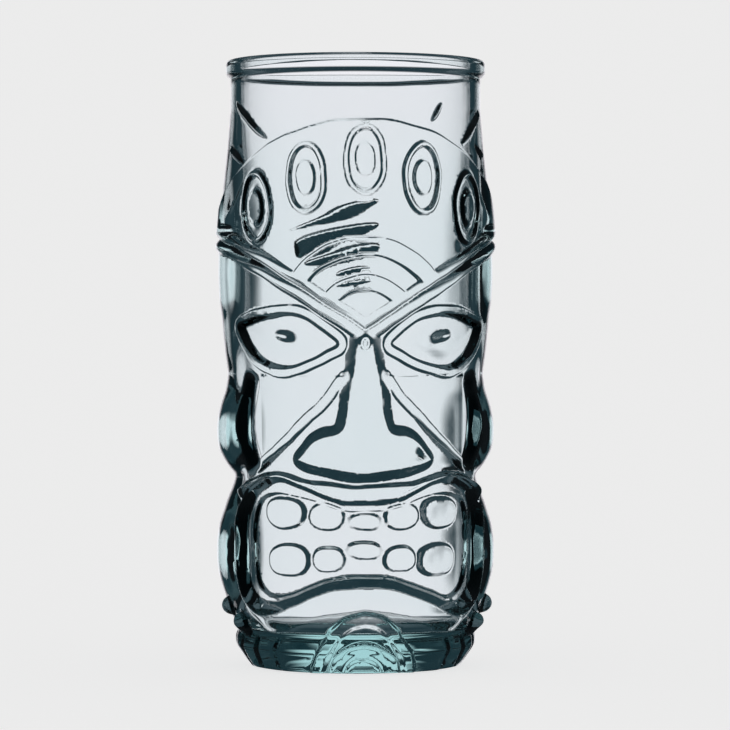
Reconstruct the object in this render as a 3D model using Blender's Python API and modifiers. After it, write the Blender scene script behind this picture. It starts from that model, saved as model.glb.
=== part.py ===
"""Tiki tumbler in clear recycled glass, pressed in one piece with a carved-mask face in relief.

The glass is one solid body. It is built as three zones, rim, wall and base, which meet face to
face on flat planes, so that the hollow stays open and each zone is a simple closed solid.
Metres, +Z up, the face looks towards -Y, and the origin is the middle of the foot.
Places on the wall are given as an angle from the front, in degrees, positive towards +X, and a
height above the foot.
"""

import math

import bmesh
import bpy
from mathutils import Vector

MM = 0.001

# Driving dimensions
HEIGHT = 168 * MM
RIM_RADIUS = 36.1 * MM
NECK_RADIUS = 34.7 * MM
BROW_RADIUS = 36.4 * MM
FOOT_RADIUS = 27.5 * MM
MOUTH_INNER_RADIUS = 31.8 * MM
FLOOR_INNER_RADIUS = 30.8 * MM
BASE_THICKNESS = 13 * MM
RIM_HEIGHT = 5 * MM
FLOOR_CORNER = 7 * MM
FLOOR_CORNER_ROWS = 4

# Where the zones meet
RIM_PLANE = HEIGHT - RIM_HEIGHT
BASE_PLANE = BASE_THICKNESS + 1.5 * MM
ZONE_MARGIN = 5 * MM

# The outer wall between the foot and the rim, as (height, radius)
OUTER_WALL = (
    (0.0 * MM, FOOT_RADIUS),
    (1.4 * MM, 29.6 * MM),
    (6.0 * MM, 31.8 * MM),
    (10.0 * MM, 33.2 * MM),
    (16.0 * MM, 34.4 * MM),
    (26.0 * MM, 35.6 * MM),
    (40.0 * MM, 35.6 * MM),
    (53.0 * MM, 33.8 * MM),
    (66.0 * MM, 36.0 * MM),
    (81.0 * MM, 35.4 * MM),
    (96.0 * MM, BROW_RADIUS),
    (118.0 * MM, BROW_RADIUS),
    (140.0 * MM, 35.4 * MM),
    (154.0 * MM, NECK_RADIUS),
    (RIM_PLANE, NECK_RADIUS),
)
OUTER_WALL_STEPS = 8
WALL_ROWS = 20
TURN_STEPS = 48
RIM_ROWS = 6
RIM_UNDERCUT = 1.2 * MM

# Finish of the mesh
PIP_SEGMENTS = 10
PIP_RINGS = 6
SHELL_ROWS = 12
SHELL_DEPTH = 1.4 * MM
STAMP_CLEARANCE = 12 * MM
WELD = 0.001 * MM
AXIS_WELD = 0.01 * MM
SHARP_ANGLE = 35.0

# Headband: a raised crown above two cords that meet in a V between the eyes
CROWN_TOP = 150 * MM
CROWN_DROP = 26 * MM
CROWN_PROUD = 1.2 * MM
CROWN_REACH = 84.0
CROWN_STEPS = 14
CROWN_BAND = (92 * MM, 152 * MM)
CORD_LOW_POINT = 95 * MM
CORD_RISE = 25 * MM
CORD_GAP = 3.9 * MM
CORD_RADIUS = 1.5 * MM
CORD_REACH = 114.0
CORD_STEPS = 24
QUARTER_TURN = 90.0

# Ovals on the crown, as (angle, height, lean), and their sizes
OVALS = (
    (-49.5, 126.5 * MM, -6.0),
    (-25.0, 134.2 * MM, -2.5),
    (0.0, 139.0 * MM, 0.0),
    (25.0, 134.2 * MM, 2.5),
    (49.5, 126.5 * MM, 6.0),
)
OVAL_HALF = (5.2 * MM, 8.8 * MM)
OVAL_PUPIL_HALF = (2.8 * MM, 4.6 * MM)
OVAL_PUPIL_PROUD = 2.2 * MM
OVAL_RING_RADIUS = 0.8 * MM
OVAL_STEPS = 16

# Arches on the forehead, round one centre between the eyes
FOREHEAD_CENTRE = 94 * MM
FOREHEAD_ARCHES = ((22 * MM, 42), (12 * MM, 38))
FOREHEAD_RIDGE = 1.1 * MM
FOREHEAD_STEPS = 8

# Eyes: an almond outline and a slit pupil
EYE_CORNERS = ((8.0, 89.8 * MM), (62.0, 94.4 * MM))
EYE_RISE = 8.0 * MM
EYE_DROP = 10.4 * MM
EYE_RIDGE = 1.2 * MM
EYE_STEPS = 24
PUPIL = (34.5, 91.6 * MM)
PUPIL_HALF = (4.6 * MM, 1.9 * MM)
PUPIL_PROUD = 1 * MM

# Nose, half of its outline seen from the front, as (across, height)
NOSE_HALF = (
    (2.6 * MM, 92.0 * MM),
    (4.0 * MM, 84.0 * MM),
    (6.6 * MM, 68.0 * MM),
    (11.5 * MM, 65.6 * MM),
    (16.0 * MM, 61.6 * MM),
    (18.0 * MM, 58.4 * MM),
    (14.0 * MM, 55.6 * MM),
    (6.0 * MM, 53.9 * MM),
)
NOSE_PROUD_TOP = 1.4 * MM
NOSE_PROUD_TIP = 4.2 * MM
NOSE_MARGIN = 1 * MM

# Cheek folds and the ear lobes at the sides
FOLD = ((10.0, 80.0 * MM), (25.0, 69.0 * MM), (40.0, 60.0 * MM), (49.0, 56.6 * MM))
FOLD_RADIUS = 1.2 * MM
FOLD_STEPS = 3
LOBE_ANGLE = 84.0
LOBE_HEIGHT = 67.5 * MM
LOBE_HALF = (11.5 * MM, 13.2 * MM)
LOBE_PROUD = 3.0 * MM

# Mouth: thick lips round two rows of teeth, half of the ring as (angle, height)
LIPS_HALF = (
    (0.0, 48.4 * MM),
    (15.0, 49.6 * MM),
    (34.0, 51.6 * MM),
    (52.0, 49.6 * MM),
    (64.0, 42.5 * MM),
    (67.0, 33.0 * MM),
    (63.0, 23.5 * MM),
    (50.0, 18.8 * MM),
    (34.0, 19.6 * MM),
    (16.0, 22.6 * MM),
    (0.0, 24.2 * MM),
)
LIP_RADIUS = 2.5 * MM
LIPS_STEPS = 3

# Teeth from the middle outwards, as (angle, height, half width, half height)
UPPER_TEETH = (
    (0.0, 41.6 * MM, 4.6 * MM, 2.6 * MM),
    (17.0, 43.0 * MM, 4.6 * MM, 3.6 * MM),
    (37.0, 43.6 * MM, 6.0 * MM, 4.4 * MM),
)
LOWER_TEETH = (
    (0.0, 33.8 * MM, 4.6 * MM, 2.5 * MM),
    (16.2, 31.6 * MM, 4.5 * MM, 3.4 * MM),
    (35.6, 30.8 * MM, 6.2 * MM, 4.4 * MM),
)
TOOTH_PROUD = 1.3 * MM

# Beads by the jaw, as (angle, height, half width, half height)
BEADS = ((66.0, 12.4 * MM, 2.5 * MM, 3.1 * MM), (78.5, 17.4 * MM, 2.0 * MM, 2.6 * MM))
BEAD_PROUD = 1.7 * MM

# Chin arches and the ridges that fan out round the thick base
CHIN_CENTRE = 1.5 * MM
CHIN_ARCHES = (15.6 * MM, 9.6 * MM, 4.4 * MM)
CHIN_SPREAD = 52.0
CHIN_RIDGE = 0.9 * MM
CHIN_STEPS = 10
FLUTE_FIRST = 42.0
FLUTE_STEP = 15.33
FLUTE_LEAN = 6.0
FLUTE_RADIUS = 0.8 * MM
FLUTE_FOOT = 2.6 * MM
FLUTE_TOP = 9.4 * MM

# Leaf marks pressed proud of the neck, as (angle, height, half width, half height, lean)
LEAVES = (
    (37.0, 152.2 * MM, 1.1 * MM, 3.6 * MM, 38.0),
    (60.0, 149.0 * MM, 1.3 * MM, 6.4 * MM, 38.0),
    (70.0, 141.0 * MM, 1.2 * MM, 3.4 * MM, 38.0),
)
LEAF_PROUD = 0.8 * MM

# Tuft of slanted strokes on the back, as (angle, height) of both ends and a half width
TUFT = (
    ((217.0, 119.2 * MM), (164.0, 127.4 * MM), 0.9 * MM),
    ((208.0, 115.6 * MM), (163.7, 121.9 * MM), 1.5 * MM),
    ((203.0, 112.2 * MM), (163.0, 116.1 * MM), 1.1 * MM),
    ((186.4, 109.2 * MM), (168.5, 111.2 * MM), 0.9 * MM),
    ((188.0, 105.8 * MM), (167.5, 107.4 * MM), 0.8 * MM),
)
TUFT_STEPS = 6

GLASS_COLOUR = (0.72, 0.86, 0.86, 1.0)
BASE_COLOUR = (0.36, 0.72, 0.66, 1.0)
GLASS_ROUGHNESS = 0.03
GLASS_INDEX = 1.52


def clear_scene():
    for item in list(bpy.data.objects):
        bpy.data.objects.remove(item, do_unlink=True)


def new_collection(name):
    collection = bpy.data.collections.new(name)
    bpy.context.scene.collection.children.link(collection)
    return collection


def glass_material(name, colour):
    material = bpy.data.materials.new(name)
    material.use_nodes = True
    shader = material.node_tree.nodes["Principled BSDF"]
    shader.inputs["Base Color"].default_value = colour
    shader.inputs["Metallic"].default_value = 0.0
    shader.inputs["Roughness"].default_value = GLASS_ROUGHNESS
    shader.inputs["IOR"].default_value = GLASS_INDEX
    shader.inputs["Transmission Weight"].default_value = 1.0
    return material


def smooth_route(points, steps, closed=False):
    """A Catmull-Rom curve through the points, as tuples, with this many steps between each pair."""
    count = len(points)
    last = count if closed else count - 1

    def point(index):
        return Vector(points[index % count] if closed else points[min(max(index, 0), count - 1)])

    route = []
    for index in range(last):
        before, start, end, after = (point(index + offset) for offset in (-1, 0, 1, 2))
        for step in range(steps):
            t = step / steps
            spot = (
                2 * start
                + (end - before) * t
                + (2 * before - 5 * start + 4 * end - after) * t * t
                + (3 * start - before - 3 * end + after) * t * t * t
            )
            route.append(tuple(spot / 2))
    if not closed:
        route.append(tuple(points[-1]))
    return route


def wall_radius(height):
    """The outer radius of the plain wall at this height."""
    for (low, low_radius), (high, high_radius) in zip(WALL, WALL[1:]):
        if height <= high:
            share = (max(height, low) - low) / (high - low)
            return low_radius + (high_radius - low_radius) * share
    return WALL[-1][1]


def even_rows(points, rows):
    """The same line, sampled at evenly spaced heights."""
    fine = smooth_route(points, OUTER_WALL_STEPS)
    low, high = fine[0][0], fine[-1][0]
    sampled = []
    for row in range(rows + 1):
        height = low + (high - low) * row / rows
        index = max(i for i, spot in enumerate(fine) if spot[0] <= height + WELD)
        if index == len(fine) - 1:
            sampled.append(fine[-1])
            continue
        (start, start_radius), (end, end_radius) = fine[index], fine[index + 1]
        share = (height - start) / (end - start)
        sampled.append((height, start_radius + (end_radius - start_radius) * share))
    return sampled


def on_wall(angle, height, proud=0.0):
    radius = wall_radius(height) + proud
    turn = math.radians(angle)
    return Vector((radius * math.sin(turn), -radius * math.cos(turn), height))


def link_mesh(name, mesh, collection):
    item = bpy.data.objects.new(name, mesh)
    collection.objects.link(item)
    return item


def evaluated_mesh(item):
    graph = bpy.context.evaluated_depsgraph_get()
    return bpy.data.meshes.new_from_object(item.evaluated_get(graph))


def turned(name, profile, collection, closed=False):
    """A solid of revolution from (radius, height) points that run down the outer side."""
    mesh = bpy.data.meshes.new(name)
    vertices = [(radius, 0.0, height) for radius, height in profile]
    edges = [(index, index + 1) for index in range(len(profile) - 1)]
    if closed:
        edges.append((len(profile) - 1, 0))
    mesh.from_pydata(vertices, edges, [])
    item = link_mesh(name, mesh, collection)
    screw = item.modifiers.new("Turn", "SCREW")
    screw.steps = TURN_STEPS
    screw.render_steps = TURN_STEPS
    screw.use_merge_vertices = True
    screw.merge_threshold = AXIS_WELD
    return item


def solid_from_curve(name, curve_object, collection):
    """The curve's solid as a mesh object, its caps welded."""
    mesh = evaluated_mesh(curve_object)
    shape = bmesh.new()
    shape.from_mesh(mesh)
    bmesh.ops.remove_doubles(shape, verts=shape.verts, dist=WELD)
    bmesh.ops.recalc_face_normals(shape, faces=shape.faces)
    shape.to_mesh(mesh)
    shape.free()
    item = link_mesh(name, mesh, collection)
    item.matrix_world = curve_object.matrix_world.copy()
    bpy.data.objects.remove(curve_object, do_unlink=True)
    return item


def ridge(name, route, radius, collection, closed=False):
    """A round ridge along the wall, half of it sunk in the glass."""
    curve = bpy.data.curves.new(name, "CURVE")
    curve.dimensions = "3D"
    curve.bevel_depth = radius
    curve.bevel_resolution = 1
    curve.use_fill_caps = not closed
    spline = curve.splines.new("POLY")
    spline.points.add(len(route) - 1)
    spline.use_cyclic_u = closed
    for point, place in zip(spline.points, route):
        point.co = (*place, 1.0)
    guide = link_mesh(name + "_route", curve, collection)
    return solid_from_curve(name, guide, collection)


def boss(name, angle, height, half, proud, collection, lean=0.0):
    """A rounded pip on the wall: half is its half width and half height."""
    bpy.ops.mesh.primitive_uv_sphere_add(segments=PIP_SEGMENTS, ring_count=PIP_RINGS, radius=1.0)
    item = bpy.context.object
    item.name = name
    for owner in list(item.users_collection):
        owner.objects.unlink(item)
    collection.objects.link(item)
    item.location = on_wall(angle, height)
    item.rotation_euler = (0.0, math.radians(lean), math.radians(angle))
    item.scale = (half[0], proud, half[1])
    return item


def stamp(name, outline, shell, collection):
    """A raised patch: the part of a shell that an outline covers, seen from the front."""
    curve = bpy.data.curves.new(name, "CURVE")
    curve.dimensions = "2D"
    curve.fill_mode = "BOTH"
    curve.extrude = BROW_RADIUS / 2
    spline = curve.splines.new("POLY")
    spline.points.add(len(outline) - 1)
    spline.use_cyclic_u = True
    for point, (across, height) in zip(spline.points, outline):
        point.co = (across, height, 0.0, 1.0)
    guide = link_mesh(name + "_outline", curve, collection)
    guide.rotation_euler = (math.radians(QUARTER_TURN), 0.0, 0.0)
    guide.location = (0.0, -(BROW_RADIUS / 2 + STAMP_CLEARANCE), 0.0)
    bpy.context.view_layer.update()
    block = solid_from_curve(name + "_block", guide, collection)
    cut = block.modifiers.new("Keep on wall", "BOOLEAN")
    cut.operation = "INTERSECT"
    cut.object = shell
    bpy.context.view_layer.update()
    mesh = evaluated_mesh(block)
    item = link_mesh(name, mesh, collection)
    item.matrix_world = block.matrix_world.copy()
    bpy.data.objects.remove(block, do_unlink=True)
    bpy.data.objects.remove(shell, do_unlink=True)
    return item


def wall_shell(name, proud_at, low, high, collection):
    """A shell inside the wall that stands proud_at(height) outside it."""
    rows = [low + (high - low) * row / SHELL_ROWS for row in range(SHELL_ROWS + 1)]
    outer = [(wall_radius(height) + proud_at(height), height) for height in reversed(rows)]
    inner = [(wall_radius(height) - SHELL_DEPTH, height) for height in rows]
    return turned(name, outer + inner, collection, closed=True)


def rim_profile():
    """The rounded bead of the lip, from its inner edge over the top to the neck, as (radius, height)."""
    centre = (RIM_RADIUS + MOUTH_INNER_RADIUS) / 2
    half = (RIM_RADIUS - MOUTH_INNER_RADIUS) / 2
    crown = RIM_HEIGHT / 2
    points = []
    for row in range(RIM_ROWS + 1):
        turn = math.pi * (1 - row / RIM_ROWS)
        points.append((centre + half * math.cos(turn), HEIGHT - crown + crown * math.sin(turn)))
    points.append((RIM_RADIUS, RIM_PLANE + RIM_UNDERCUT))
    return points


def inner_profile():
    """The hollow, from the middle of its floor up to the lip, as (radius, height)."""
    points = [(0.0, BASE_THICKNESS)]
    for row in range(FLOOR_CORNER_ROWS + 1):
        turn = math.pi / 2 * row / FLOOR_CORNER_ROWS
        radius = FLOOR_INNER_RADIUS - FLOOR_CORNER * (1 - math.sin(turn))
        points.append((radius, BASE_THICKNESS + FLOOR_CORNER * (1 - math.cos(turn))))
    return points


def blank(collection):
    """The tumbler before its relief."""
    outer = [(radius, height) for height, radius in reversed(WALL)]
    profile = inner_profile() + rim_profile() + outer + [(0.0, 0.0)]
    return turned("blank", profile, collection)


def cord_height(angle):
    """The cords climb from between the eyes to the sides, and run level behind them."""
    if abs(angle) > QUARTER_TURN:
        return CORD_LOW_POINT + CORD_RISE
    return CORD_LOW_POINT + CORD_RISE * abs(math.sin(math.radians(angle)))


def add_headband(collection):
    for name, drop in (("cord_upper", 0.0), ("cord_lower", CORD_GAP)):
        angles = [CORD_REACH * (2 * step / CORD_STEPS - 1) for step in range(CORD_STEPS + 1)]
        route = [on_wall(angle, cord_height(angle) - drop) for angle in angles]
        ridge(name, route, CORD_RADIUS, collection)
    angles = [CROWN_REACH * (2 * step / CROWN_STEPS - 1) for step in range(CROWN_STEPS + 1)]
    across = [BROW_RADIUS * math.sin(math.radians(angle)) for angle in angles]
    top = [CROWN_TOP - CROWN_DROP * (angle / QUARTER_TURN) ** 2 for angle in angles]
    bottom = [cord_height(angle) for angle in angles]
    outline = list(zip(across, top)) + list(zip(reversed(across), reversed(bottom)))
    shell = wall_shell("crown_shell", lambda height: CROWN_PROUD, *CROWN_BAND, collection)
    stamp("crown", outline, shell, collection)
    for number, (angle, height, lean) in enumerate(OVALS):
        add_oval(f"oval_{number}", angle, height, lean, collection)


def add_oval(name, angle, height, lean, collection):
    per_degree = math.radians(1) * BROW_RADIUS
    tilt = math.radians(lean)
    route = []
    for step in range(OVAL_STEPS):
        turn = 2 * math.pi * step / OVAL_STEPS
        across = OVAL_HALF[0] * math.cos(turn)
        up = OVAL_HALF[1] * math.sin(turn)
        side = across * math.cos(tilt) + up * math.sin(tilt)
        rise = up * math.cos(tilt) - across * math.sin(tilt)
        route.append(on_wall(angle + side / per_degree, height + rise, CROWN_PROUD))
    ridge(name, route, OVAL_RING_RADIUS, collection, closed=True)
    boss(name + "_pupil", angle, height, OVAL_PUPIL_HALF, OVAL_PUPIL_PROUD, collection, lean)


def add_forehead(collection):
    per_degree = math.radians(1) * BROW_RADIUS
    for number, (radius, spread) in enumerate(FOREHEAD_ARCHES):
        route = []
        for step in range(FOREHEAD_STEPS + 1):
            turn = math.radians(spread * (2 * step / FOREHEAD_STEPS - 1))
            side = radius * math.sin(turn) / per_degree
            route.append(on_wall(side, FOREHEAD_CENTRE + radius * math.cos(turn), CROWN_PROUD))
        ridge(f"forehead_{number}", route, FOREHEAD_RIDGE, collection)


def add_eyes(collection):
    (start, start_height), (end, end_height) = EYE_CORNERS
    for side, label in ((-1, "right"), (1, "left")):
        route = []
        for step in range(EYE_STEPS):
            turn = 2 * math.pi * step / EYE_STEPS
            share = (1 - math.cos(turn)) / 2
            swell = math.sin(turn)
            reach = EYE_RISE if swell > 0 else EYE_DROP
            height = start_height + (end_height - start_height) * share + reach * swell
            route.append(on_wall(side * (start + (end - start) * share), height))
        ridge(f"eye_{label}", route, EYE_RIDGE, collection, closed=True)
        boss(f"pupil_{label}", side * PUPIL[0], PUPIL[1], PUPIL_HALF, PUPIL_PROUD, collection)


def add_nose(collection):
    low = NOSE_HALF[-1][1]
    high = NOSE_HALF[0][1]

    def proud(height):
        share = min(max((high - height) / (high - low), 0.0), 1.0)
        return NOSE_PROUD_TOP + (NOSE_PROUD_TIP - NOSE_PROUD_TOP) * share

    outline = list(NOSE_HALF) + [(-across, height) for across, height in reversed(NOSE_HALF)]
    shell = wall_shell("nose_shell", proud, low - NOSE_MARGIN, high + NOSE_MARGIN, collection)
    stamp("nose", outline, shell, collection)


def add_cheeks(collection):
    for side, label in ((-1, "right"), (1, "left")):
        spots = [(side * angle, height, 0.0) for angle, height in FOLD]
        route = [on_wall(angle, height) for angle, height, _ in smooth_route(spots, FOLD_STEPS)]
        ridge(f"fold_{label}", route, FOLD_RADIUS, collection)
        boss(f"lobe_{label}", side * LOBE_ANGLE, LOBE_HEIGHT, LOBE_HALF, LOBE_PROUD, collection)


def add_mouth(collection):
    other_side = [(-angle, height) for angle, height in reversed(LIPS_HALF[1:-1])]
    spots = smooth_route(list(LIPS_HALF) + other_side, LIPS_STEPS, closed=True)
    route = [on_wall(angle, height) for angle, height in spots]
    ridge("lips", route, LIP_RADIUS, collection, closed=True)
    for row, teeth in (("upper", UPPER_TEETH), ("lower", LOWER_TEETH)):
        for number, (angle, height, half_width, half_height) in enumerate(teeth):
            for side in (-1, 1) if angle else (1,):
                name = f"tooth_{row}_{number * side}"
                half = (half_width, half_height)
                boss(name, side * angle, height, half, TOOTH_PROUD, collection)


def add_beads(collection):
    for number, (angle, height, half_width, half_height) in enumerate(BEADS):
        for side in (-1, 1):
            half = (half_width, half_height)
            boss(f"bead_{number * side}", side * angle, height, half, BEAD_PROUD, collection)


def add_leaves(collection):
    for number, (angle, height, half_width, half_height, lean) in enumerate(LEAVES):
        for side in (-1, 1):
            half = (half_width, half_height)
            name = f"leaf_{number * side}"
            boss(name, side * angle, height, half, LEAF_PROUD, collection, side * lean)


def add_tuft(collection):
    for number, ((start, start_height), (end, end_height), half_width) in enumerate(TUFT):
        shares = [step / TUFT_STEPS for step in range(TUFT_STEPS + 1)]
        route = [
            on_wall(start + (end - start) * share, start_height + (end_height - start_height) * share)
            for share in shares
        ]
        ridge(f"tuft_{number}", route, half_width, collection)


def add_base_relief(collection):
    per_degree = math.radians(1) * wall_radius(CHIN_CENTRE + CHIN_ARCHES[0] / 2)
    for number, radius in enumerate(CHIN_ARCHES):
        route = []
        for step in range(CHIN_STEPS + 1):
            turn = math.radians(CHIN_SPREAD * (2 * step / CHIN_STEPS - 1))
            height = max(CHIN_CENTRE + radius * math.cos(turn), FLUTE_FOOT)
            route.append(on_wall(radius * math.sin(turn) / per_degree, height))
        ridge(f"chin_{number}", route, CHIN_RIDGE, collection)
    angle = FLUTE_FIRST
    while angle <= 2 * QUARTER_TURN:
        for side in (-1, 1):
            if angle + FLUTE_LEAN > 2 * QUARTER_TURN and side > 0:
                continue
            ends = ((angle, FLUTE_TOP), (angle + FLUTE_LEAN, FLUTE_FOOT))
            route = [on_wall(side * turn, height) for turn, height in ends]
            ridge(f"flute_{side * angle:.0f}", route, FLUTE_RADIUS, collection)
        angle += FLUTE_STEP


def slab(name, low, high, collection):
    """A block that holds one zone of the glass between two level planes."""
    bpy.ops.mesh.primitive_cube_add(size=2.0)
    item = bpy.context.object
    item.name = name
    for owner in list(item.users_collection):
        owner.objects.unlink(item)
    collection.objects.link(item)
    for vertex in item.data.vertices:
        side = HEIGHT / 2
        level = high if vertex.co.z > 0 else low
        vertex.co = (vertex.co.x * side, vertex.co.y * side, level)
    item.hide_render = True
    item.display_type = "WIRE"
    return item


def zone(name, glass_mesh, cutter, material, collection):
    """One zone of the glass: what lies inside its slab."""
    mesh = glass_mesh.copy()
    mesh.name = name
    mesh.materials.clear()
    mesh.materials.append(material)
    item = link_mesh(name, mesh, collection)
    keep = item.modifiers.new("Zone", "BOOLEAN")
    keep.operation = "INTERSECT"
    keep.object = cutter
    return item


def pressed_glass(blank_item, relief):
    """The blank with all of its relief, as one mesh."""
    join = blank_item.modifiers.new("Relief", "BOOLEAN")
    join.operation = "UNION"
    join.operand_type = "COLLECTION"
    join.collection = relief
    bpy.context.view_layer.update()
    mesh = evaluated_mesh(blank_item)
    mesh.shade_smooth()
    mesh.set_sharp_from_angle(angle=math.radians(SHARP_ANGLE))
    return mesh


def main():
    clear_scene()
    parts = new_collection("tiki_tumbler")
    cutters = new_collection("cutters")
    relief = new_collection("relief")
    add_headband(relief)
    add_forehead(relief)
    add_eyes(relief)
    add_nose(relief)
    add_cheeks(relief)
    add_mouth(relief)
    add_beads(relief)
    add_leaves(relief)
    add_tuft(relief)
    add_base_relief(relief)
    blank_item = blank(cutters)
    glass = pressed_glass(blank_item, relief)
    for item in list(relief.objects) + [blank_item]:
        bpy.data.objects.remove(item, do_unlink=True)
    zones = (
        ("rim", RIM_PLANE, HEIGHT + ZONE_MARGIN, GLASS_COLOUR),
        ("wall", BASE_PLANE, RIM_PLANE, GLASS_COLOUR),
        ("base", -ZONE_MARGIN, BASE_PLANE, BASE_COLOUR),
    )
    for name, low, high, colour in zones:
        cutter = slab(name + "_slab", low, high, cutters)
        zone(name, glass, cutter, glass_material(name + "_glass", colour), parts)


WALL = even_rows(OUTER_WALL, WALL_ROWS)
main()
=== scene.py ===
"""Looks of the tiki tumbler: one piece of pressed recycled glass, its relief, its tint and its stage.

The glass starts as a turned blank, spun from its cross-section, and the mould's relief is then
pressed into its outer side. Lengths inside the relief functions are in millimetres, on the wall
unrolled at a nominal radius: across from the middle of the face, and height above the foot.
"""

import math

import bpy
import numpy as np
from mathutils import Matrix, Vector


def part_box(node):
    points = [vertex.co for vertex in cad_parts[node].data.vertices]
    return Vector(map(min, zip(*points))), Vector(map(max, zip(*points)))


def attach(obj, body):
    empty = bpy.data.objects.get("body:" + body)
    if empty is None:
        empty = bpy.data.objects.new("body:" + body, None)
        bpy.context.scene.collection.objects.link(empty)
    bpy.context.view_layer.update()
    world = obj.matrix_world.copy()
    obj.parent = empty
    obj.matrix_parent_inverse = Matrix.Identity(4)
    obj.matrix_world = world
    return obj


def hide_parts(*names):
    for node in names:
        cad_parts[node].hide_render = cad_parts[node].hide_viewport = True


bl_info = {
    "name": "Pressed Glass Tiki Tumbler",
    "version": (1, 0, 0),
    "blender": (4, 5, 0),
    "location": "View3D > Sidebar > Tumbler",
    "description": "Builds a pressed-glass tiki tumbler, its glass and a plain studio stage",
    "category": "Add Mesh",
}

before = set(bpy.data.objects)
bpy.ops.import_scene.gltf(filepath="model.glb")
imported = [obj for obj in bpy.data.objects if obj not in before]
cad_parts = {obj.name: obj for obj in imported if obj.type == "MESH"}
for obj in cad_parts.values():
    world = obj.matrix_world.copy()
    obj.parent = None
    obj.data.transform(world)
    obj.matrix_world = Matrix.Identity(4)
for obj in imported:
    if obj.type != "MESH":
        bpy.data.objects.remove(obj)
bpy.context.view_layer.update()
RIM_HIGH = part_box("rim")[1]

MM = 0.001

# The outer wall as (height, radius) in millimetres: the foot, and the front, side and back above it
FOOT_WALL = (
    (0, 28.8), (1.4, 30.0), (5.6, 32.9), (6.2, 33.2), (9.2, 33.3), (10.0, 32.5), (10.9, 32.7),
)
FRONT_WALL = FOOT_WALL + (
    (12.2, 34.2), (16, 35.0), (22, 35.4), (30, 35.6), (45, 35.8), (52, 36.0), (60, 36.2),
    (70, 36.4), (80, 36.6), (92, 36.6), (100, 37.0), (115, 37.2), (125, 36.9), (135, 36.2),
    (145, 35.4), (154, 34.7), (168, 34.7),
)
SIDE_WALL = FOOT_WALL + (
    (13.1, 33.9), (19.7, 36.2), (23.1, 37.3), (26.4, 38.1), (29.8, 38.5), (34.8, 38.5),
    (39.8, 37.8), (43.1, 36.7), (46.5, 35.6), (49.8, 34.2), (53.1, 33.2), (54.8, 34.9),
    (56.5, 36.1), (59.8, 37.8), (63.1, 38.4), (66.5, 38.5), (69.8, 38.1), (73.2, 37.3),
    (76.5, 36.1), (81.0, 35.4), (86.5, 36.2), (91.5, 36.7), (96.5, 37.1), (101.5, 37.8),
    (108.2, 38.1), (118, 38.0), (124, 37.6), (128, 37.2), (134.9, 36.5), (143.3, 35.6),
    (154, 34.7), (168, 34.7),
)
BACK_WALL = FOOT_WALL + (
    (12.2, 33.9), (16, 34.6), (26, 35.8), (40, 36.0), (53, 35.6), (66, 36.0), (81, 36.0),
    (96, 36.6), (115, 37.0), (130, 36.4), (145, 35.4), (154, 34.7), (168, 34.7),
)
NECK = FRONT_WALL[-1][1]
WALL_SOFTNESS = 0.6
PROFILE_STEP = 0.25
PROFILE_ENDS = (-4, 176)
UNROLLED_RADIUS = 37.0
PER_DEGREE = math.radians(1) * UNROLLED_RADIUS

# How the blank is spun and refined: degrees for the reach, millimetres for the rest
FRONT_REACH = 100
WALL_TOP = 163.2
RELIEF_ENDS = (158, 162)
ON_WALL = 0.1
FAR = 7.0
SKETCH_STEP = 0.22
SKETCH_ANGLES = (-182, 187)
TRIANGLES_PER_SPLIT = 8.0
MERGE = 0.001 * MM

# The stage, in metres and degrees
TENT_RADIUS = 2.2
BELT_ENDS = (0.80, 0.30)
BOWL_RADIUS, BOWL_BEND, BOWL_WALL, BOWL_STEPS = 2.6, 0.8, 2.0, 8
PALE = (0.8, 0.8, 0.8, 1)
CAMERA_DIP, CAMERA_SWING = 0.709, 0.148
CAMERA_CLIP = (0.05, 20.0)
SENSOR_WIDTH = 36.0


class TumblerShape(bpy.types.PropertyGroup):
    rim_tube: bpy.props.FloatProperty(
        name="Rim height", description="Height of the rounded lip", default=4.8 * MM,
        min=0.002, max=0.01, unit="LENGTH")
    mouth_radius: bpy.props.FloatProperty(
        name="Mouth radius", description="Inner radius just under the lip", default=31.9 * MM,
        min=0.02, max=0.035, unit="LENGTH")
    floor_radius: bpy.props.FloatProperty(
        name="Floor radius", description="Inner radius at the bottom of the hollow",
        default=31.0 * MM, min=0.02, max=0.032, unit="LENGTH")
    floor_height: bpy.props.FloatProperty(
        name="Floor thickness", description="Thickness of the solid base", default=12.8 * MM,
        min=0.005, max=0.03, unit="LENGTH")
    floor_corner: bpy.props.FloatProperty(
        name="Floor corner", description="Radius of the corner inside the hollow",
        default=4.6 * MM, min=0.001, max=0.015, unit="LENGTH")
    foot_radius: bpy.props.FloatProperty(
        name="Foot radius", description="Radius of the ring it stands on", default=27.0 * MM,
        min=0.02, max=0.03, unit="LENGTH")
    row: bpy.props.FloatProperty(
        name="Row height", description="Height of a row of faces before they are refined",
        default=1.12 * MM, min=0.0003, max=0.005, unit="LENGTH")
    front_steps: bpy.props.IntProperty(
        name="Front steps", description="Columns of faces over the front, before refining",
        default=122, min=40, max=400)
    back_steps: bpy.props.IntProperty(
        name="Back steps", description="Columns of faces over the back", default=44,
        min=12, max=200)
    fineness: bpy.props.FloatProperty(
        name="Fineness", description="How far a face may stray from the relief",
        default=0.012 * MM, min=0.001 * MM, max=1 * MM, unit="LENGTH")
    most_triangles: bpy.props.IntProperty(
        name="Most triangles", description="Where refining stops", default=192000,
        min=50000, max=199000)
    relief: bpy.props.FloatProperty(
        name="Relief", description="Depth of the relief against the mould's own", default=1.0,
        min=0.0, max=1.5, subtype="FACTOR")


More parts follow.
